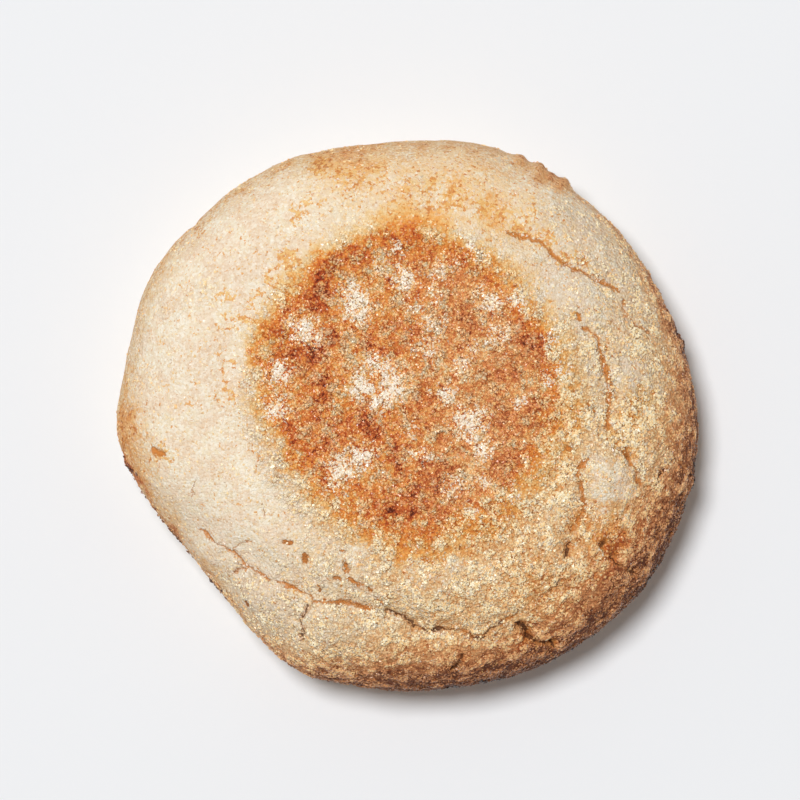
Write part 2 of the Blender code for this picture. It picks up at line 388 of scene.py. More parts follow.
# Where it scorched, as dabs of x, y, radius, strength.
SCORCHES = (
    (-4, -8, 3, 0.4), (-1, -15, 4, 0.3), (-14.5, -13, 2.6, 0.5), (-7, -18.5, 4.0, 0.5),
    (-13, -16, 3.0, 0.35), (21.5, 17, 3.0, 0.6), (-6.5, 13.5, 2.0, 0.4), (-15.3, 25.2, 2.1, 1.25),
    (-15.3, 22.3, 2.1, 1.25), (-15.8, 19.8, 1.7, 0.9), (-8.9, 28.7, 2.2, 0.8), (-12.9, 27.2, 1.8, 0.6),
    (-4, 32.1, 2.4, 0.55), (1, 31.6, 1.8, 0.5), (3.9, 30.7, 1.8, 0.4), (-23.2, 14.9, 2.2, 0.6),
    (-20.8, 11.0, 2.0, 0.85), (-16.8, 11.2, 1.9, 0.9), (-13.4, 13.9, 1.8, 0.9), (-18.3, 8.9, 1.8, 0.85),
    (-15.3, 6, 1.8, 1.0), (-15.3, 2.5, 1.8, 0.9), (-16.8, 0.5, 1.8, 0.6), (-11.4, -0.5, 2.0, 0.6),
    (-6.9, -1, 2.2, 0.95), (-5, -2.9, 1.8, 0.85), (-2, -5.9, 1.8, 0.85), (-1.5, -8.9, 1.8, 0.8),
    (2.9, -8.9, 1.8, 0.55), (5.9, -11.3, 2.0, 0.6), (1, -13.3, 1.8, 0.6), (-2.5, -17.8, 2.6, 0.7),
    (1.5, -16.3, 2.2, 0.55), (-6.4, -14.8, 1.8, 0.6), (-20.8, -3.9, 2.2, 0.6), (-15.3, -5.4, 1.8, 0.55),
    (-18.3, -8.9, 2.0, 0.45), (20.7, 17.3, 2.2, 0.6), (21.7, 13.4, 2.6, 0.8), (24.2, 10.4, 1.8, 0.6),
    (25.7, 8.4, 1.6, 0.5), (16.8, -1, 2.4, 0.5), (20.7, -7.9, 2.2, 0.55), (17.8, -9.8, 2.2, 0.6),
    (18.8, 8.4, 1.8, 0.4), (8.9, 27.7, 1.8, 0.45), (13.8, 24.7, 2.0, 0.35), (-2.5, 16.3, 1.8, 0.45),
    (0.5, 14.9, 1.8, 0.5), (2.9, 2.5, 2.2, 0.45), (10.9, 17.8, 1.8, 0.45),
)
# Where the dough lay clean on the plate and baked a clear orange, with no meal between.
ORANGE_ARCS = (
    (-9, 29.2, 2.8, 1.0), (-4, 32, 3.0, 1.0), (1, 31.6, 2.6, 1.0), (5.5, 30.5, 2.0, 0.9),
    (-13.5, 26.5, 2.6, 0.9), (-16, 23, 2.6, 0.8), (-23, 14, 2.0, 0.7), (-21.5, 11, 1.8, 0.6),
    (12, 26.5, 2.0, 0.4), (-11, 2, 2, 0.5),
)
# Where a thick dab of flour kept the dough off the plate, so that it stayed white.
FLOUR_DABS = (
    (-1.5, 29.7, 1.6, 0.7), (-0.5, 24.2, 2.2, 0.9), (-5, 26.2, 1.2, 0.5), (5.9, 25.2, 1.5, 0.7),
    (8.9, 26.7, 1.2, 0.5), (10.9, 29.7, 0.9, 0.7), (13.8, 28.2, 1.6, 0.7), (-8.9, 21.8, 2.2, 0.9),
    (-9.4, 19.3, 2.6, 0.9), (-8.4, 17.3, 2.0, 0.7), (-18.3, 14.9, 2.9, 0.85), (1.5, 18.8, 1.6, 0.45),
    (4.9, 16.3, 1.7, 0.8), (6.9, 17.3, 1.0, 0.5), (14.8, 19.8, 2.0, 0.75), (19.3, 20.3, 1.7, 0.7),
    (12.8, 22.8, 1.2, 0.5), (4.4, 21.8, 1.5, 0.5), (16.3, 13.9, 2.0, 0.6), (11.8, 11.9, 1.5, 0.5),
    (3.4, 11.4, 2.0, 0.65), (9.9, 8.9, 1.5, 0.6), (-5.9, 9.4, 1.7, 0.75), (-3.5, 7.9, 1.7, 0.9),
    (-7.9, 5, 2.2, 1.0), (-3, 4.5, 2.4, 0.95), (-4.5, 2.5, 2.0, 0.85), (-22.7, 7.4, 2.0, 0.95),
    (-23.2, 1, 2.3, 0.85), (-27.2, 3.5, 1.4, 0.6), (6.9, 4.5, 1.9, 0.8), (10.9, -1.4, 2.8, 1.0),
    (12.3, 0.5, 1.7, 0.8), (20.2, 2.5, 1.1, 0.8), (24.7, 6, 1.0, 0.7), (27.6, 7.4, 1.5, 0.7),
    (25.7, 13.9, 1.5, 0.7), (0.5, -2.9, 1.4, 0.6), (2.9, -6.9, 1.6, 0.75), (-7.9, -7.4, 2.2, 1.0),
    (-11.4, -9.4, 2.3, 1.0), (-12.9, -12.8, 1.6, 0.6), (13.8, -6.4, 2.0, 0.7), (8.4, -12.8, 2.0, 0.6),
    (13.3, -11.8, 1.7, 0.6), (18.8, -13.8, 1.5, 0.5), (11.3, -16.8, 1.7, 0.6),
)
BASE_DABS = 60  # such dabs on the underside, strewn at random
BASE_REACH = 36.0  # how far from its middle


def round_about(places, swells):
    """Swells added up round the muffin: each has its bearing, half width in degrees, and height."""
    total = np.zeros(len(places))
    for middle, half_width, height in swells:
        turn = (bearing_of(places) - middle + 180.0) % 360.0 - 180.0
        total += height * bell(turn, half_width)
    return total


on_top = above(places)
on_base = below(places)
rough = cobbled(places)
clusters = clustered(places)
wavering = ragged(places, 0.8, 4.0, 40)
from_spot = wavering - (*SPOT, 0.0)
spot_edge = SPOT_REACH + round_about(from_spot, SPOT_SWELLS) - np.hypot(from_spot[:, 0], from_spot[:, 1])
spot_edge += 1.6 * unevenness(places, 5.0, 41) + 1.1 * unevenness(places, 1.8, 42)
spot_edge += 0.9 * unevenness(places, 0.9, 62)
softness = 2.2 + 3.4 * ramp(bareward(places), -0.3, 0.4)
pressed = on_top * ramp(spot_edge, -1.0, softness)
halo = on_top * ramp(spot_edge, -2.2 - 0.9 * softness, 1.5)
scorch = on_top * dabbed(wavering, SCORCHES, 1.2)
clean = on_top * dabbed(wavering, ORANGE_ARCS, 1.2)
dabs = on_top * dabbed(ragged(places, 1.1, 2.2, 52), FLOUR_DABS, 1.05)
base_dabs = []
for x, y, much in knead.uniform(-1.0, 1.0, (BASE_DABS, 3)):
    base_dabs.append((BASE_REACH * x, BASE_REACH * y, 1.0 + 0.9 * abs(much), 0.75 + 0.25 * much))
dabs = np.maximum(dabs, on_base * dabbed(ragged(places, 1.1, 2.2, 52), base_dabs, 1.1))
base_scorch = on_base * ramp(unevenness(places, 9.0, 63) + 0.5 * unevenness(places, 3.0, 64), -0.1, 0.8)
dabs = np.clip(dabs + 0.35 * ramp(dabs, 0.05, 0.4) * unevenness(places, 1.4, 54), 0, 1)

# Flour and rim: the flour that clung to the dough wore off in flecks, and the crust is golden where
# it lay thin. The rim and the hem under it stood free of the flour and baked brown, and a few
# places on the very edge charred. Towards the side away from the light and along the bottom edge,
# the rim is painted browner still, as shade. Dabs are x, y, radius, strength.
FLECKS = (
    (19.6, 32.6, 0.9, 1.0), (24.5, 31.5, 1.1, 1.0), (27.9, 28.0, 1.0, 1.0), (30.8, 26.4, 0.9, 0.9),
    (34.6, 24.0, 0.8, 0.8), (36.9, 23.2, 0.7, 0.8), (35.6, -0.5, 0.9, 0.9), (36.6, -3.2, 1.1, 1.0),
    (38.2, -5.6, 1.2, 1.0), (39.3, -6.9, 1.0, 1.0), (31.0, -10.6, 0.9, 0.9), (31.6, -15.9, 0.9, 0.9),
    (30.6, -18.5, 0.9, 0.9), (34.4, 12.4, 0.8, 0.9), (35.6, 8.2, 0.8, 0.8), (-32, 17.8, 0.9, 0.8),
    (-31.8, 14.9, 0.8, 0.7), (-31.3, 11.9, 0.7, 0.6), (-31.6, 9, 0.8, 0.7), (-31.3, 6.1, 0.7, 0.7),
    (-31.1, 4, 0.9, 0.9), (-39.2, 2.2, 0.6, 0.8), (-27, 21, 0.9, 0.9), (-24.5, 24.2, 0.9, 0.9),
    (-22.6, 26.2, 0.8, 0.9), (-18.6, 35.2, 0.8, 0.9), (-15.4, 38.2, 0.7, 0.7), (-35.4, 29.4, 0.8, 0.6),
    (-37.6, 33.4, 1.2, 0.8), (-17.6, 37.9, 1.2, 0.9), (-19.4, 35.8, 1.4, 1.0), (-20.8, 27.8, 1.8, 1.0),
    (-22.7, 26.7, 1.0, 0.7), (-32.5, 21.4, 1.2, 0.9), (-30.5, 21.4, 1.0, 0.8), (-27, 20.5, 1.4, 0.9),
    (-28.8, 16.9, 1.3, 1.0), (-43.2, 13.4, 0.8, 0.9), (-38.1, 1.8, 1.0, 0.5), (-31.9, 4, 1.4, 0.6),
    (-15.6, 44.7, 2.0, 1.0), (-11, 42.7, 2.0, 0.8), (-5, 43.5, 1.5, 0.6), (0, 41.5, 1.5, 0.6),
    (4.9, 40, 2.0, 0.7), (7.7, 38.3, 2.0, 0.8), (13.7, 36.5, 1.6, 1.0), (16.6, 35.1, 1.4, 1.0),
    (20.2, 33, 1.6, 1.0), (22.1, 35.8, 1.8, 0.8), (23.1, 32.3, 1.3, 1.0), (26.1, 30.8, 1.5, 1.0),
    (29.6, 28.3, 1.2, 0.9), (32.1, 27.1, 0.9, 0.9), (29.9, 18.3, 0.9, 0.7), (41.5, 3, 2.2, 0.8),
    (40, 0, 1.8, 0.8), (30.1, 1.5, 1.6, 0.5), (-4, -33.1, 1.2, 0.8), (-19.8, -31.1, 1.6, 0.7),
    (36.5, -23.7, 2.0, 1.0), (32.6, -28.6, 1.6, 0.5), (-32.6, 10.9, 1.2, 0.6), (-33.1, 14.9, 1.0, 0.6),
    (9.4, 40.5, 1.6, 0.6), (-43.3, -6.7, 1.6, 0.9), (-42, -9.4, 1.2, 0.5), (-15.8, 20.3, 1.0, 0.4),
    (21.2, -40.5, 1.4, 0.7),
)
GOLDEN = (
    (22, 24.5, 4, 0.6), (29, 24.5, 3.5, 0.5), (-29, 34, 4, 0.3), (14, 42, 4, 0.5), (-50, -2, 2.6, 0.9),
    (-47.5, -9, 3, 0.6), (-36, -28, 3, 0.5), (-12, 45, 5, 0.8), (22, 38, 4, 0.6), (-26.2, 8.9, 4.0, 0.7),
    (-22.7, 21.8, 4.2, 0.7), (-21.8, 26.7, 4, 0.6), (-23.7, 16.8, 3.6, 0.5), (-33.1, 13.9, 2.2, 0.7),
    (-32.6, 7.9, 2.2, 0.7), (-33.1, 3, 2.2, 0.7), (2, 36.6, 9, 0.9), (9.9, 40.5, 6, 0.9),
    (-7.9, 42.5, 6, 0.9), (28.0, 2, 4, 0.8), (26.7, -8.9, 4, 0.5), (2, -24.2, 5, 0.9), (9, -19, 5, 0.4),
    (-28, 3, 4, 0.4), (8, 38.5, 4, 1.0), (15.5, 36, 4, 1.1), (13.8, -23.7, 7, 0.5), (21.7, -29.6, 9, 0.8),
    (35.6, -21.7, 7, 0.9), (7.9, -33.6, 9, 0.5), (20.6, 45.0, 1.7, 0.8), (24.2, 43.0, 1.9, 0.8),
    (27.6, 41.0, 1.7, 0.7), (-26, -5, 4, 0.6), (41.5, -1.9, 5, 0.6), (43.5, 7.9, 6, 0.3),
    (-21.8, -7.9, 4, 0.4), (-15.8, -19.7, 5, 0.3), (23.7, 33.6, 5, 0.6),
)
RIM_REACH = 1.8  # how far in from the outline the rim is browned
# How much further it is browned, partly as painted shade: bearing, half width in degrees, reach.
RIM_SWELLS = (
    (318.0, 25.0, 4.8), (352.0, 16.0, 1.7), (10.0, 16.0, 0.5), (182.0, 13.0, 2.2), (205.0, 10.0, 1.2),
    (100.0, 20.0, 1.2), (70.0, 16.0, 1.0), (40.0, 18.0, -0.7), (258.0, 16.0, 3.0), (280.0, 16.0, 3.0),
    (140.0, 24.0, 0.9), (228.0, 12.0, -0.3),
)
# Where more flour stuck.
DUSTY = (
    (46, 2, 6, 0.7), (-26, -33, 6, 0.7), (-14, -40, 6, 0.6), (-34, -24, 6, 0.4), (4, -38, 6, 0.4),
    (44, 8, 8, 0.7), (40, 24, 7, 0.5), (30, 34, 6, 0.5), (46, -6, 5, 0.4), (-22, -38, 6, 0.5),
    (-10, -42, 5, 0.3), (28, 22, 6, 0.5), (34, 8, 5, 0.4), (24, -22, 5, 0.4), (4, -29, 5, 0.3),
    (-30, 24, 8, 0.3), (-36, 8, 8, 0.3),
)
# Where the rim is amber: bearing, half width in degrees, strength.
AMBER_RIM = (
    (188.0, 18.0, 0.7), (125.0, 55.0, 0.75),
)
# The charred places: bearing, half width in degrees, strength.
CHARRED_EDGE = (
    (190.0, 2.0, 0.9), (198.0, 5.0, 0.5), (208.0, 4.0, 0.6), (222.0, 5.0, 0.5), (15.0, 3.0, 1.0),
    (347.0, 4.0, 1.0), (280.0, 4.0, 0.9), (288.0, 4.0, 1.0), (304.0, 6.0, 0.7), (326.0, 6.0, 0.7),
)


def inset(places):
    """How far in plan each place lies inside the outline; 0 below the widest level."""
    reach = np.interp(bearing_of(places), np.arange(361) - 0.5, np.append(outline, outline[0]))
    inside = reach - np.hypot(places[:, 0], places[:, 1])
    return np.where(places[:, 2] > WAIST, np.maximum(inside, 0.0), 0.0)


bare_and_shaded = bareward(places)
golden = on_top * dabbed(places, GOLDEN, 1.3)
flecks = on_top * dabbed(ragged(places, 1.2, 2.2, 55), FLECKS, 1.2)
dusty = on_top * dabbed(places, DUSTY, 1.2)
worn = ramp(unevenness(places, 2.6, 44) + 0.6 * unevenness(places, 0.9, 45), 0.70, 1.05) * on_top
rim_inset = inset(places) + 0.9 * unevenness(places, 3.0, 46) + 0.4 * unevenness(places, 1.2, 47)
rim_reach = RIM_REACH + round_about(places, RIM_SWELLS)
rim = np.clip(1.0 - rim_inset / (2.1 * rim_reach), 0, 1) ** 1.2
rim *= 0.30 + 0.70 * ramp(places[:, 2], 4.0, 11.0)
rim *= np.clip(0.9 + 0.36 * unevenness(places, 2.2, 59) + 0.22 * unevenness(places, 0.9, 60), 0.2, 1.3)
charred = np.clip(round_about(places, CHARRED_EDGE), 0, 1) * ramp(0.55 - rim_inset, -0.4, 0.3)
charred *= ramp(places[:, 2], 6.0, 9.0)
hem = ramp(2.6 - places[:, 2] + 1.2 * unevenness(places, 3.0, 48), 0.0, 3.0) * (1.0 - 0.4 * on_base)
gathered = rough * (clusters - 0.4)
# Painted shade: the lower side, away from the light, gets a little less flour below.
low_side_shade = ramp(-places[:, 1], 26.0, 44.0) * on_top
amber_rim = rim * np.clip(round_about(places, AMBER_RIM), 0, 1)

# How far the crust is browned, from 0 for pale dough to 1 for scorched, with some painted shade.
browned = 0.06 + 0.05 * unevenness(places, 5.0, 49) + 0.05 * unevenness(places, 16.0, 50)
browned += 0.12 * halo + 0.23 * pressed + 0.45 * scorch * halo - 0.13 * clean
browned += 0.14 * on_base + 0.36 * base_scorch
browned += pressed * (0.18 * unevenness(places, 2.2, 56) + 0.18 * unevenness(places, 1.0, 61))
# Partly painted shade: browner towards the bare side, away from the light.
browned += 0.17 * golden * (1.0 - 0.5 * pressed) + 0.13 * ramp(bare_and_shaded, 0.0, 0.9) - 0.01 * low_side_shade
# Partly painted shade: the rim is browned more away from the light and along the bottom edge, less towards
# it.
rim_browned_and_shaded = 0.35 + 0.19 * np.clip(bare_and_shaded, -0.9, 0) + 0.62 * np.clip(bare_and_shaded, 0, 1)
browned += rim * rim_browned_and_shaded + 0.45 * charred + 0.46 * hem
browned += 0.30 * rim * ramp(-places[:, 1], 38.0, 46.0) + 0.07 * amber_rim
browned += 0.12 * worn * (1.0 - pressed) - 0.25 * gathered - 0.07 * dusty
browned += 0.07 * on_top * bell(np.hypot(places[:, 0] - 37.0, places[:, 1] - 30.0), 14.0)

# How far it has the clear orange of dough baked on the plate, and not the tan of the oven.
well_inside = ramp(spot_edge, 1.0, 6.0) * (0.08 + 0.34 * ramp(places[:, 0], -4.0, 12.0)) * on_top
well_inside *= 1.0 - clean
griddled = np.clip(0.10 + 1.1 * halo + 0.6 * golden + flecks, 0, 1) * (1.0 - well_inside)
griddled = np.maximum(griddled * (1.0 - 0.6 * rim), 0.8 * on_base)
griddled = np.maximum(griddled, amber_rim)

# How thick the flour lies, from 0 for none to 1 for white.
floured = 0.72 - 0.54 * halo + 0.08 * dabs - 0.25 * worn + 0.16 * dusty - 0.25 * clean
floured += 0.20 * pressed * unevenness(places, 1.8, 57) + 0.10 * unevenness(places, 7.0, 51)
# Partly painted shade: less flour towards the bare side and the lower side, away from the light.
worn_off = 0.34 * golden + rim * (0.42 + 0.16 * bare_and_shaded) + 0.24 * ramp(bare_and_shaded, -0.1, 0.8)
floured -= worn_off + 0.5 * charred + 0.05 * low_side_shade + 0.20 * amber_rim
floured -= 0.30 * hem + 0.26 * on_base + 0.30 * base_scorch
floured += 0.74 * gathered + 0.60 * on_top * dabbed(places, SMOOTH_PLATES)

# How much meal sticks to it, from 0 to 1.
gritty = np.clip(1.15 * rough - 0.20, 0.03, 0.95) * (0.45 + 0.75 * clusters)
gritty = np.maximum(gritty, 0.35 * rim)


# The crust's finish: dry baked skin, browned where a plate touched it, under flour and fine meal. Each
# cause above is marked on the skin, and the material reads the marks.
def mark(mesh, name, values):
    mesh.attributes.new(name, "FLOAT", "POINT").data.foreach_set("value", values.astype(np.float32))


mark(skin, "browned", browned)
mark(skin, "floured", floured)
mark(skin, "griddled", griddled)
mark(skin, "gritty", gritty)
worn_through = np.maximum(np.maximum(0.86 * flecks, 0.44 * golden), 0.11 * on_top)
mark(skin, "worn", worn_through * (1.0 - pressed))
mark(skin, "dusty", dusty)
mark(skin, "pressed", pressed)
mark(skin, "dusted", dabs)
opened = np.zeros(len(places))
for name, group, taper, _ in OPENINGS:
    beside, wide, _, glow, dark = opened_by(places, group, taper)
    mark(skin, name + " beside", np.clip(beside, -3.0, 3.0))
    mark(skin, name + " wide", wide)
    mark(skin, name + " glow", np.clip(glow, 0, 1))
    mark(skin, name + " dark", np.clip(dark, 0, 1))
    opened = np.maximum(opened, ramp(2.5 * wide - np.abs(beside), -0.2, 0.2))
mark(skin, "opened", opened)


def linear(red, green, blue):
    """A colour as it looks, from 0 to 255, as the light it gives back."""
    return tuple(((c / 255 + 0.055) / 1.055) ** 2.4 for c in (red, green, blue)) + (1.0,)


def plain_finish(name):
    """A new material, its node tree and its shader."""
    material = bpy.data.materials.new(name)
    material.use_nodes = True
    return material, material.node_tree, material.node_tree.nodes["Principled BSDF"]


def put_node(tree, kind, **settings):
    made = tree.nodes.new(kind)
    for key, value in settings.items():
        setattr(made, key, value)
    return made


def feed(socket, value):
    """Links a node's input to another node's output, or sets it to a plain value."""
    if isinstance(value, bpy.types.NodeSocket):
        socket.id_data.links.new(value, socket)
    else:
        socket.default_value = value


def attribute(tree, name):
    return put_node(tree, "ShaderNodeAttribute", attribute_name=name).outputs["Fac"]


def maths(operation, *values, kind="ShaderNodeMath"):
    """A sum on the outputs of nodes and on plain values."""
    tree = next(value.id_data for value in values if isinstance(value, bpy.types.NodeSocket))
    made = put_node(tree, kind, operation=operation)
    for socket, value in zip(made.inputs, values):
        feed(socket, value)
    return made.outputs[0]


def plus(first, second):
    return maths("ADD", first, second)


def less(first, second):
    return maths("SUBTRACT", first, second)


def times(first, second):
    return maths("MULTIPLY", first, second)


def window(value, low, high):
    """0 below low, 1 above high, smooth between."""
    made = put_node(value.id_data, "ShaderNodeMapRange", interpolation_type="SMOOTHSTEP")
    for socket, level in zip(made.inputs, (value, low, high)):
        feed(socket, level)
    return made.outputs[0]


def blend(share, under, over, way="MIX"):
    """One colour laid over another, as thick as share."""
    made = put_node(share.id_data, "ShaderNodeMix", data_type="RGBA", blend_type=way)
    for socket, value in zip((made.inputs[0], *made.inputs[6:8]), (share, under, over)):
        feed(socket, value)
    return made.outputs[2]


def shades(value, stops):
    """Colours that follow a value, from stop to stop."""
    made = put_node(value.id_data, "ShaderNodeValToRGB")
    feed(made.inputs[0], value)
    bar = made.color_ramp
    while len(bar.elements) < len(stops):
        bar.elements.new(0.5)
    for element, (place, colour) in zip(bar.elements, stops):
        element.position = place
        element.color = colour
    return made.outputs[0]


def textured(where, size, kind, **settings):
    """A texture node with features of one size."""
    made = put_node(where.id_data, kind, **settings)
    feed(made.inputs["Vector"], where)
    made.inputs["Scale"].default_value = 1.0 / (size * MM)
    return made


def cloud(where, size):
    """Noise from about -0.5 to 0.5, in puffs of one size."""
    return less(textured(where, size, "ShaderNodeTexNoise").outputs[0], 0.5)


def crumbs(where, size):
    """Crumbs of one size, side by side: the distance from each one's middle, and three dice."""
    made = textured(where, size, "ShaderNodeTexVoronoi")
    dice = put_node(where.id_data, "ShaderNodeSeparateColor")
    feed(dice.inputs[0], made.outputs["Color"])
    return made.outputs["Distance"], dice.outputs


def from_edge(where, size):
    """Distance from the nearest edge between crumbs of one size."""
    made = textured(where, size, "ShaderNodeTexVoronoi", feature="DISTANCE_TO_EDGE")
    return made.outputs["Distance"]


# The crumbs: the skin dried into crumbs with uneven sides, each a little browner or paler than the
# next. What is finer than the mesh follows them: colour, flour and roughness.
CRUMB = 0.42  # size of a crumb
KNOCK = 0.45  # size of what makes the crumbs' sides uneven
KNOCKED_BY = 0.7  # and how far it pushes them

crust_material, crust_tree, crust_shader = plain_finish("baked crust")


def marked(name):
    """A mark on the skin, as the crust's material reads it."""
    return attribute(crust_tree, name)


where = put_node(crust_tree, "ShaderNodeTexCoord").outputs["Object"]
knock = textured(where, KNOCK, "ShaderNodeTexNoise").outputs["Color"]
knock = maths("SUBTRACT", knock, (0.5, 0.5, 0.5), kind="ShaderNodeVectorMath")
knocked_by = (KNOCKED_BY * MM, KNOCKED_BY * MM, KNOCKED_BY * MM)
knocked = maths("MULTIPLY_ADD", knock, knocked_by, where, kind="ShaderNodeVectorMath")
near, dice = crumbs(knocked, CRUMB)
speckle = less(dice[0], 0.5)
crumb = window(less(0.85, near), 0.0, 0.55)
meal = marked("gritty")
# Painted shade and light: darker in the hollows between crumbs and lighter on their tops, as far as there
# is meal.
hollow_shade = times(less(0.5, crumb), meal)
mist = cloud(where, 0.9)

# The dough under the flour: browned tan by the oven's air, and a clear orange to red brown where it
# lay on the plate. The hollows between the crumbs are painted a little browner, as shade.
grainy = plus(times(meal, 0.30), plus(times(marked("pressed"), 0.16), 0.06))
brown = plus(marked("browned"), times(speckle, grainy))
brown = plus(brown, times(hollow_shade, 0.24))
brown = plus(brown, plus(times(mist, 0.34), times(cloud(where, 3.5), 0.18)))
oven_baked = shades(brown, (
    (0.0, linear(247, 229, 200)),
    (0.2, linear(243, 211, 167)),
    (0.4, linear(234, 186, 134)),
    (0.6, linear(216, 154, 102)),
    (0.8, linear(182, 117, 70)),
    (1.0, linear(120, 68, 38)),
))
plate_baked = shades(brown, (
    (0.0, linear(246, 225, 186)),
    (0.18, linear(246, 206, 142)),
    (0.36, linear(242, 170, 86)),
    (0.54, linear(232, 136, 56)),
    (0.72, linear(208, 98, 42)),
    (0.88, linear(160, 58, 22)),
    (1.0, linear(100, 34, 10)),
))
dough = blend(marked("griddled"), oven_baked, plate_baked)

# Flour: wheat flour that was rubbed into the skin and baked on, cream to peach, greyer where it is
# thick. It lies on the crumbs, painted thinner in the hollows as shade, with specks of browned bran in it.
flour_level = plus(marked("floured"), times(dice[1], 0.40))
flour_level = plus(flour_level, plus(times(mist, 0.6), times(times(cloud(where, 2.0), meal), 0.5)))
flour_level = less(flour_level, times(hollow_shade, 0.5))
flour = window(flour_level, 0.475, 0.975)
creamy = blend(dice[2], linear(255, 248, 231), linear(244, 224, 188))
peachy = blend(dice[2], linear(251, 235, 212), linear(238, 209, 176))
powdery = blend(dice[2], linear(241, 225, 206), linear(216, 186, 158))
patches = plus(cloud(where, 4.0), times(cloud(where, 1.2), 0.8))
dusting = blend(window(patches, -0.14, 0.14), creamy, peachy)
dusting = blend(times(marked("dusty"), 0.8), dusting, powdery)
dusting = blend(times(marked("pressed"), 0.8), dusting, linear(246, 196, 146))
colour = blend(flour, dough, dusting)
bran = times(window(dice[1], 0.90, 0.94), window(less(0.58, near), 0.0, 0.2))
bran_colour = blend(dice[0], linear(242, 196, 118), linear(206, 152, 102))
colour = blend(times(bran, 0.70), colour, bran_colour)

# Wear: flecks where the flour came off down to golden crust, most along the seams between lumps.
# They are ragged, and as brown as the dough round them.
LUMP = 1.9  # size of the lumps that the seams run between
seam = window(less(0.20, from_edge(knocked, LUMP)), 0.0, 0.20)
fleck = plus(marked("worn"), plus(times(cloud(where, 0.5), 1.2), times(cloud(where, 1.5), 1.1)))
fleck = plus(fleck, plus(times(speckle, 0.35), times(less(seam, 0.45), 0.34)))
fleck = window(fleck, 0.46, 0.66)
fleck_brown = plus(brown, plus(0.14, times(speckle, 0.5)))
colour = blend(times(fleck, 0.85), colour, shades(fleck_brown, (
    (0.1, linear(246, 202, 126)),
    (0.35, linear(236, 170, 88)),
    (0.6, linear(216, 132, 58)),
    (0.9, linear(166, 84, 36)),
)))

# Meal: the finest semolina, baked into the skin between the loose chips. It is cream on pale crust
# and toasts with the dough under it.
GRAIN = 0.50  # size of a grain
grain_near, grain_dice = crumbs(knocked, GRAIN)
grit = window(less(times(meal, 0.70), grain_dice[0]), 0.0, 0.06)
grit = times(grit, window(less(0.62, grain_near), 0.0, 0.20))
grit_colour = blend(grain_dice[1], linear(255, 244, 214), linear(246, 210, 154))
grit_colour = blend(window(brown, 0.15, 0.60), grit_colour, linear(250, 178, 122))
colour = blend(times(grit, 0.85), colour, grit_colour)

# Caked flour: the thick dabs in the griddle spot, dried into a crazed crust of their own. Between
# their clumps the toasted dough shows.
CLUMP = 0.85  # size of a clump
clump_dice = crumbs(knocked, CLUMP)[1]
caked = plus(marked("dusted"), times(less(clump_dice[0], 0.5), 0.75))
caked = window(plus(caked, times(cloud(where, 0.5), 1.1)), 0.46, 0.58)
caked = times(caked, window(from_edge(knocked, CLUMP), 0.06, 0.24))
clot_colour = blend(dice[0], linear(246, 230, 210), linear(214, 180, 146))
colour = blend(times(caked, 0.90), colour, clot_colour)

# Painted shade in the hollows: the gaps between crumbs are darkened to brown, as shade, and some
# crumbs, picked at random, are duller. Both darken what is there already.
gap_shade = times(window(near, 0.48, 0.90), times(meal, 0.9))
dull_crumb = times(window(dice[0], 0.62, 0.95), times(less(1.0, grit), meal))
for share, tone in ((gap_shade, (0.45, 0.26, 0.10, 1.0)), (dull_crumb, (0.65, 0.46, 0.27, 1.0))):
    colour = blend(share, colour, tone, "MULTIPLY")

# The open dough in splits and tears: freshly torn, so free of flour, and baked orange at the lips.
# Their bottoms are amber, and painted dark, as shade, where they are deep.
fray = plus(times(cloud(where, 0.9), 1.3), cloud(where, 0.35))
grooves = []
for name, frayed, edge_reach, core_reach in (("split", 0.75, 2.4, 0.8), ("tear", 0.9, 1.15, 0.75)):
    beside = maths("ABSOLUTE", plus(marked(name + " beside"), times(fray, frayed)))
    wide = marked(name + " wide")
    there = window(wide, 0.02, 0.06)
    edge = window(less(times(wide, edge_reach), beside), -0.04, 0.10)
    edge = times(times(edge, marked(name + " glow")), there)
    fresh_dough = blend(dice[0], linear(234, 166, 96), linear(210, 124, 54))
    colour = blend(times(edge, 0.85), colour, fresh_dough)
    core = times(window(less(times(wide, core_reach), beside), -0.03, 0.06), there)
    # Painted shade: the bottom of a deep split or tear is coloured dark.
    bottom_shade = window(marked(name + " dark"), 0.45, 1.05)
    bottom = blend(bottom_shade, linear(220, 136, 60), linear(80, 40, 18))
    colour = blend(times(core, 0.85), colour, bottom)
    grooves.append(plus(edge, core))
feed(crust_shader.inputs["Base Color"], colour)

# Sheen and relief: dry crust is nearly matt, and matter under flour. Crumbs, meal and caked flour
# stand out of it, and the splits' grooves run into it.
PIT_DEPTH = 0.24
CRUST_SHEEN = 0.30
matt = plus(times(flour, 0.16), 0.70)
feed(crust_shader.inputs["Roughness"], plus(matt, times(mist, 0.12)))
crust_shader.inputs["Specular IOR Level"].default_value = CRUST_SHEEN
high = plus(crumb, times(grit, 0.6))
high = plus(high, plus(times(cloud(where, 0.25), 0.7), times(cloud(where, 0.9), 1.2)))
high = plus(times(high, plus(times(meal, 0.75), 0.30)), times(caked, 0.5))
high = less(high, times(plus(*grooves), 0.4))
bump = put_node(crust_tree, "ShaderNodeBump")
bump.inputs["Strength"].default_value = 1.0
bump.inputs["Distance"].default_value = PIT_DEPTH * MM
feed(bump.inputs["Height"], high)
feed(crust_shader.inputs["Normal"], bump.outputs[0])

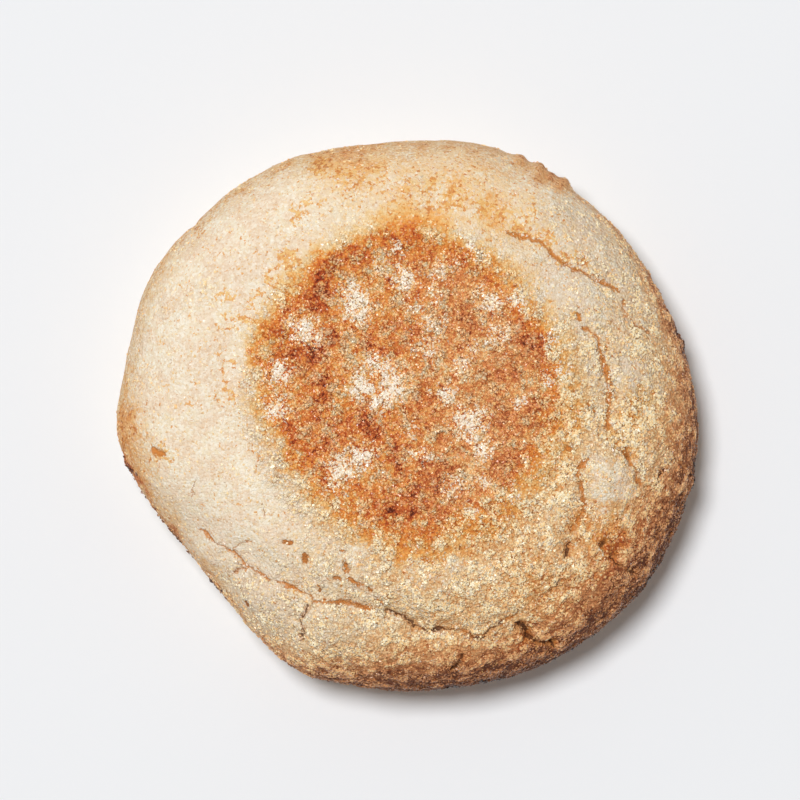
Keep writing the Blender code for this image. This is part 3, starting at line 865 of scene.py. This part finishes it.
# The skin laid out flat, to carry its colours elsewhere: the top and the shoulder as one round, and
# the underside and the flank as a smaller one. Each has its middle, and its scale for one mm.
TOP_ROUND = ((0.38, 0.62), 0.37 / 66.0)
BASE_ROUND = ((0.79, 0.21), 0.20 / 64.0)
reach = np.hypot(places[:, 0], places[:, 1])
outwards = places[:, :2] / np.maximum(reach, 0.01)[:, None]
drop = places[:, 2].max() - places[:, 2]
top_round = outwards * (reach + 0.6 * drop)[:, None] * TOP_ROUND[1] + TOP_ROUND[0]
base_round = outwards * (reach + 0.8 * places[:, 2])[:, None] * BASE_ROUND[1] + BASE_ROUND[0]
corners_of = read(skin, "loops", "vertex_index", np.int32)
face_starts = read(skin, "polygons", "loop_start", np.int32)
face_sizes = read(skin, "polygons", "loop_total", np.int32)
face_heights = np.add.reduceat(places[corners_of, 2], face_starts) / face_sizes
is_top = np.repeat(face_heights > WAIST, face_sizes)[:, None]
laid_flat = np.where(is_top, top_round[corners_of], base_round[corners_of])
skin.uv_layers.new(name="OFBake").data.foreach_set("uv", laid_flat.ravel().astype(np.float32))

skin.materials.append(crust_material)
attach(crust, "root")
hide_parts("english_muffin")

# Semolina: the board and the griddle were strewn with it, so that the crust is gritty all over.
# Sharp milled chips of durum wheat, each turned its own way and half sunk in the crust.
CHIP_ENDS = np.array((
    (0, 0, 1), (0, 0, -1), (1, 0, 0), (-0.5, 0.87, 0), (-0.5, -0.87, 0),
))
CHIP_SIDES = np.array(((2, 3, 0), (3, 4, 0), (4, 2, 0), (3, 2, 1), (4, 3, 1), (2, 4, 1)))
CHIP_FLATNESS = 0.50
CHIP_TINT = 0.44  # how far a chip's own tint moves it along its colours
FOOT_HEIGHT = 0.28  # of the chip's size: below this a chip is painted browner, as shade on its sides
FOOT_SHADE = 1.9
CHIP_PITS = 0.12
CHIP_ROUGH = (0.20, 0.50)
CHIP_SHEEN = 0.70
SEMOLINA = 33000
SEMOLINA_SIZES = (0.24, 0.82)
SEMOLINA_SUNK = 0.38  # of the chip's size

skin.calc_loop_triangles()
skin_corners = read(skin, "loop_triangles", "vertices", np.int32, 3)
skin_points = points_of(skin)


def strewn(count, wanted, chance):
    """Random places on the crust, more where wanted is high: where, facing, and how brown."""
    first, second, third = (skin_points[skin_corners[:, i]] for i in range(3))
    across = np.cross(second - first, third - first)
    area = np.linalg.norm(across, axis=1)
    likely = area * np.clip(wanted[skin_corners].mean(axis=1), 0.0, None)
    picked = chance.choice(len(skin_corners), count, p=likely / likely.sum())
    share = chance.dirichlet((1.0, 1.0, 1.0), count)
    where = np.einsum("ij,ijk->ik", share, skin_points[skin_corners[picked]])
    baked = np.einsum("ij,ij->i", share, (0.8 * browned - 0.6 * dabs - 0.09)[skin_corners[picked]])
    return where, across[picked] / np.maximum(area[picked], 1e-12)[:, None], baked


def random_turns(count, chance):
    """Rotation matrices, evenly spread over all the ways that a thing can be turned."""
    spin = chance.normal(size=(count, 4))
    w, x, y, z = (spin / np.linalg.norm(spin, axis=1)[:, None]).T
    return np.array((
        (1 - 2 * (y * y + z * z), 2 * (x * y - z * w), 2 * (x * z + y * w)),
        (2 * (x * y + z * w), 1 - 2 * (x * x + z * z), 2 * (y * z - x * w)),
        (2 * (x * z - y * w), 2 * (y * z + x * w), 1 - 2 * (x * x + y * y)),
    )).transpose(2, 0, 1)


def milled(name, spots, smallest, largest, sunk, chance):
    """One piece of many chips, each knocked out of true, turned at random and partly sunk."""
    where, facing, baked = spots
    count = len(where)
    ends, sides = len(CHIP_ENDS), len(CHIP_SIDES)
    size = smallest + (largest - smallest) * chance.beta(1.6, 2.8, count)
    shape = CHIP_ENDS * chance.uniform(0.65, 1.25, (count, ends, 1))
    shape += chance.normal(0, 0.15, (count, ends, 3))
    shape = np.einsum("nij,nkj->nki", random_turns(count, chance), shape)
    shape -= CHIP_FLATNESS * np.einsum("nki,ni->nk", shape, facing)[:, :, None] * facing[:, None, :]
    middle = where + facing * (size * (0.5 - sunk))[:, None]
    points = middle[:, None, :] + shape * (0.5 * size)[:, None, None]
    points[:, :, 2] = np.maximum(points[:, :, 2], 0.0)
    corners = CHIP_SIDES[None] + ends * np.arange(count)[:, None, None]
    mesh = bpy.data.meshes.new(name)
    mesh.vertices.add(count * ends)
    mesh.loops.add(count * sides * 3)
    mesh.loops.foreach_set("vertex_index", corners.ravel().astype(np.int32))
    mesh.polygons.add(count * sides)
    mesh.polygons.foreach_set("loop_start", np.arange(0, count * sides * 3, 3, dtype=np.int32))
    put_points(mesh, points.reshape(-1, 3))
    mesh.update(calc_edges=True)
    mesh.shade_flat()
    lift = np.einsum("nki,ni->nk", points - where[:, None, :], facing) / size[:, None]
    # Painted shade: the lower part of each chip, whose sides lie in shade, is made browner.
    tint = chance.beta(0.6, 0.8, count)[:, None] + FOOT_SHADE * np.clip(FOOT_HEIGHT - lift, 0.0, 0.5)
    mark(mesh, "tint", tint.ravel())
    mark(mesh, "baked", np.repeat(baked, ends))
    across = math.ceil(math.sqrt(count))
    column, row = np.arange(count) % across, np.arange(count) // across
    cell = np.array(((0.2, 0.2), (0.8, 0.2), (0.5, 0.8)))
    spread = (np.stack([column, row], axis=1)[:, None, None, :] + cell) / across
    layout = mesh.uv_layers.new(name="OFBake")
    layout.data.foreach_set("uv", np.broadcast_to(spread, (count, sides, 3, 2)).ravel().astype(np.float32))
    made = bpy.data.objects.new(name, mesh)
    bpy.context.scene.collection.objects.link(made)
    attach(made, "root")
    return made


def chip_finish(name, stops):
    """Milled grain: browned as far as the crust under it, each chip a little more or less."""
    material, tree, shader = plain_finish(name)
    brown = maths("MULTIPLY_ADD", attribute(tree, "tint"), CHIP_TINT, attribute(tree, "baked"))
    feed(shader.inputs["Base Color"], shades(brown, stops))
    where = put_node(tree, "ShaderNodeTexCoord").outputs["Object"]
    pits = textured(where, CHIP_PITS, "ShaderNodeTexNoise").outputs[0]
    matt = put_node(tree, "ShaderNodeMapRange")
    for socket, value in zip(matt.inputs, (pits, 0.0, 1.0, *CHIP_ROUGH)):
        feed(socket, value)
    feed(shader.inputs["Roughness"], matt.outputs[0])
    shader.inputs["Specular IOR Level"].default_value = CHIP_SHEEN
    return material


strewing = np.random.default_rng(KNEAD_SEED + 1)


def sprinkle(name, count, wanted, sizes, sunk, stops):
    """Strews one kind of grain on the crust, as one piece with a finish of its own."""
    spots = strewn(count, wanted, strewing)
    grains = milled(name, spots, *sizes, sunk, strewing)
    grains.data.materials.append(chip_finish(name.replace("_", " "), stops))


shut = 1.0 - 0.9 * opened
grit_share = (0.02 + 1.3 * rough**1.8) * (1.0 - pressed) * shut * ramp(places[:, 2], 0.4, 3.0)
grit_share *= 0.12 + 1.8 * clusters**1.5
grit_share *= 0.35 + 0.65 * on_top + 0.5 * ramp(bare_and_shaded, 0.0, 0.6)
sprinkle("semolina", SEMOLINA, grit_share, SEMOLINA_SIZES, SEMOLINA_SUNK, (
    (0.10, linear(255, 243, 211)),
    (0.30, linear(255, 229, 174)),
    (0.50, linear(250, 204, 140)),
    (0.70, linear(230, 168, 112)),
    (0.88, linear(202, 134, 82)),
    (1.0, linear(150, 92, 52)),
))

# Toasted semolina: the same chips on the two faces that lay on the griddle, browned with the dough
# under them. The ones on dabs of flour stayed pale.
TOASTED = 33000
TOASTED_SIZES = (0.22, 0.70)
TOASTED_SUNK = 0.40
spot_share = pressed * (0.7 + 0.6 * dabs) * (1.0 - 0.95 * np.clip(clean, 0, 1))
spot_share = np.maximum(spot_share, 0.55 * on_base) * shut
sprinkle("toasted_semolina", TOASTED, spot_share, TOASTED_SIZES, TOASTED_SUNK, (
    (0.04, linear(255, 243, 216)),
    (0.25, linear(255, 222, 172)),
    (0.46, linear(252, 195, 122)),
    (0.68, linear(238, 158, 94)),
    (0.90, linear(206, 108, 54)),
    (1.0, linear(146, 62, 30)),
))

# Flour clots: wheat flour that drew damp from the dough, and clotted into small white crumbs where
# it lay thickest. They sit loosely on the dabs of flour.
CLOTS = 8000
CLOT_SIZES = (0.28, 0.85)
CLOT_SUNK = 0.50
clot_share = dabs**2 + 0.02 * np.clip(floured, 0, 1) * (1.0 - pressed)
sprinkle("flour_clots", CLOTS, clot_share, CLOT_SIZES, CLOT_SUNK, (
    (0.0, linear(253, 243, 228)),
    (0.45, linear(240, 218, 192)),
    (1.0, linear(210, 174, 138)),
))

# Charred crumbs: bits of dough and meal that burnt on the plate and stuck to the muffin's edge
# when it was turned over. They are hard, dark and larger than the meal.
BURNT = 260
BURNT_SIZES = (0.4, 1.3)
BURNT_SUNK = 0.35
burnt_share = charred**2 * ramp(-rim_inset, -1.0, 0.2)
sprinkle("charred_crumbs", BURNT, burnt_share, BURNT_SIZES, BURNT_SUNK, (
    (0.3, linear(150, 92, 52)),
    (0.7, linear(104, 60, 34)),
    (1.0, linear(62, 36, 22)),
))

# The view: straight down on the muffin, as it lies on a pale matt table under a soft light from the
# upper left. The lens is long, so that the muffin's flank hardly shows.
VIEW_MIDDLE = (-1.2, 2.7)
VIEW_WIDTH = 144.0
VIEW_LENS = 300.0
VIEW_SENSOR = 36.0
TABLE_REACH = 3.0  # in metres
TABLE_COLOUR = (238, 240, 243)
WINDOW_PLACE = (-1.187, 1.318, 5.732)  # in metres, as the next two are
WINDOW_AIM = (0.0, 0.0, 0.01)
WINDOW_SIZE = 1.85
WINDOW_POWER = 300.0
ROOM_COLOUR = (1.0, 0.965, 0.93, 1.0)
ROOM_LIGHT = 0.22

camera = bpy.data.cameras.new("camera")
camera.lens = VIEW_LENS
camera.sensor_width = VIEW_SENSOR
camera.clip_end = 20.0
viewer = bpy.data.objects.new("camera", camera)
away = VIEW_WIDTH * VIEW_LENS / VIEW_SENSOR
viewer.location = (VIEW_MIDDLE[0] * MM, VIEW_MIDDLE[1] * MM, (away + WAIST) * MM)
bpy.context.scene.collection.objects.link(viewer)
bpy.context.scene.camera = viewer

table_mesh = bpy.data.meshes.new("table")
table_mesh.from_pydata(
    [(x * TABLE_REACH, y * TABLE_REACH, 0.0) for x, y in ((-1, -1), (1, -1), (1, 1), (-1, 1))],
    [], [(0, 1, 2, 3)],
)
table = bpy.data.objects.new("table", table_mesh)
bpy.context.scene.collection.objects.link(table)
table_finish, _, table_shader = plain_finish("table")
table_shader.inputs["Base Color"].default_value = linear(*TABLE_COLOUR)
table_shader.inputs["Roughness"].default_value = 0.9
table_mesh.materials.append(table_finish)

light = bpy.data.lights.new("window light", "AREA")
light.shape = "DISK"
light.size = WINDOW_SIZE
light.energy = WINDOW_POWER
lamp = bpy.data.objects.new("window light", light)
lamp.location = WINDOW_PLACE
way = np.subtract(WINDOW_AIM, WINDOW_PLACE)
lamp.rotation_euler = (
    math.atan2(math.hypot(way[0], way[1]), -way[2]), 0.0, math.atan2(way[0], -way[1]) + math.pi)
bpy.context.scene.collection.objects.link(lamp)

room = bpy.data.worlds.new("room")
room.use_nodes = True
room.node_tree.nodes["Background"].inputs[0].default_value = ROOM_COLOUR
room.node_tree.nodes["Background"].inputs[1].default_value = ROOM_LIGHT
bpy.context.scene.world = room
bpy.context.scene.view_settings.view_transform = "Standard"
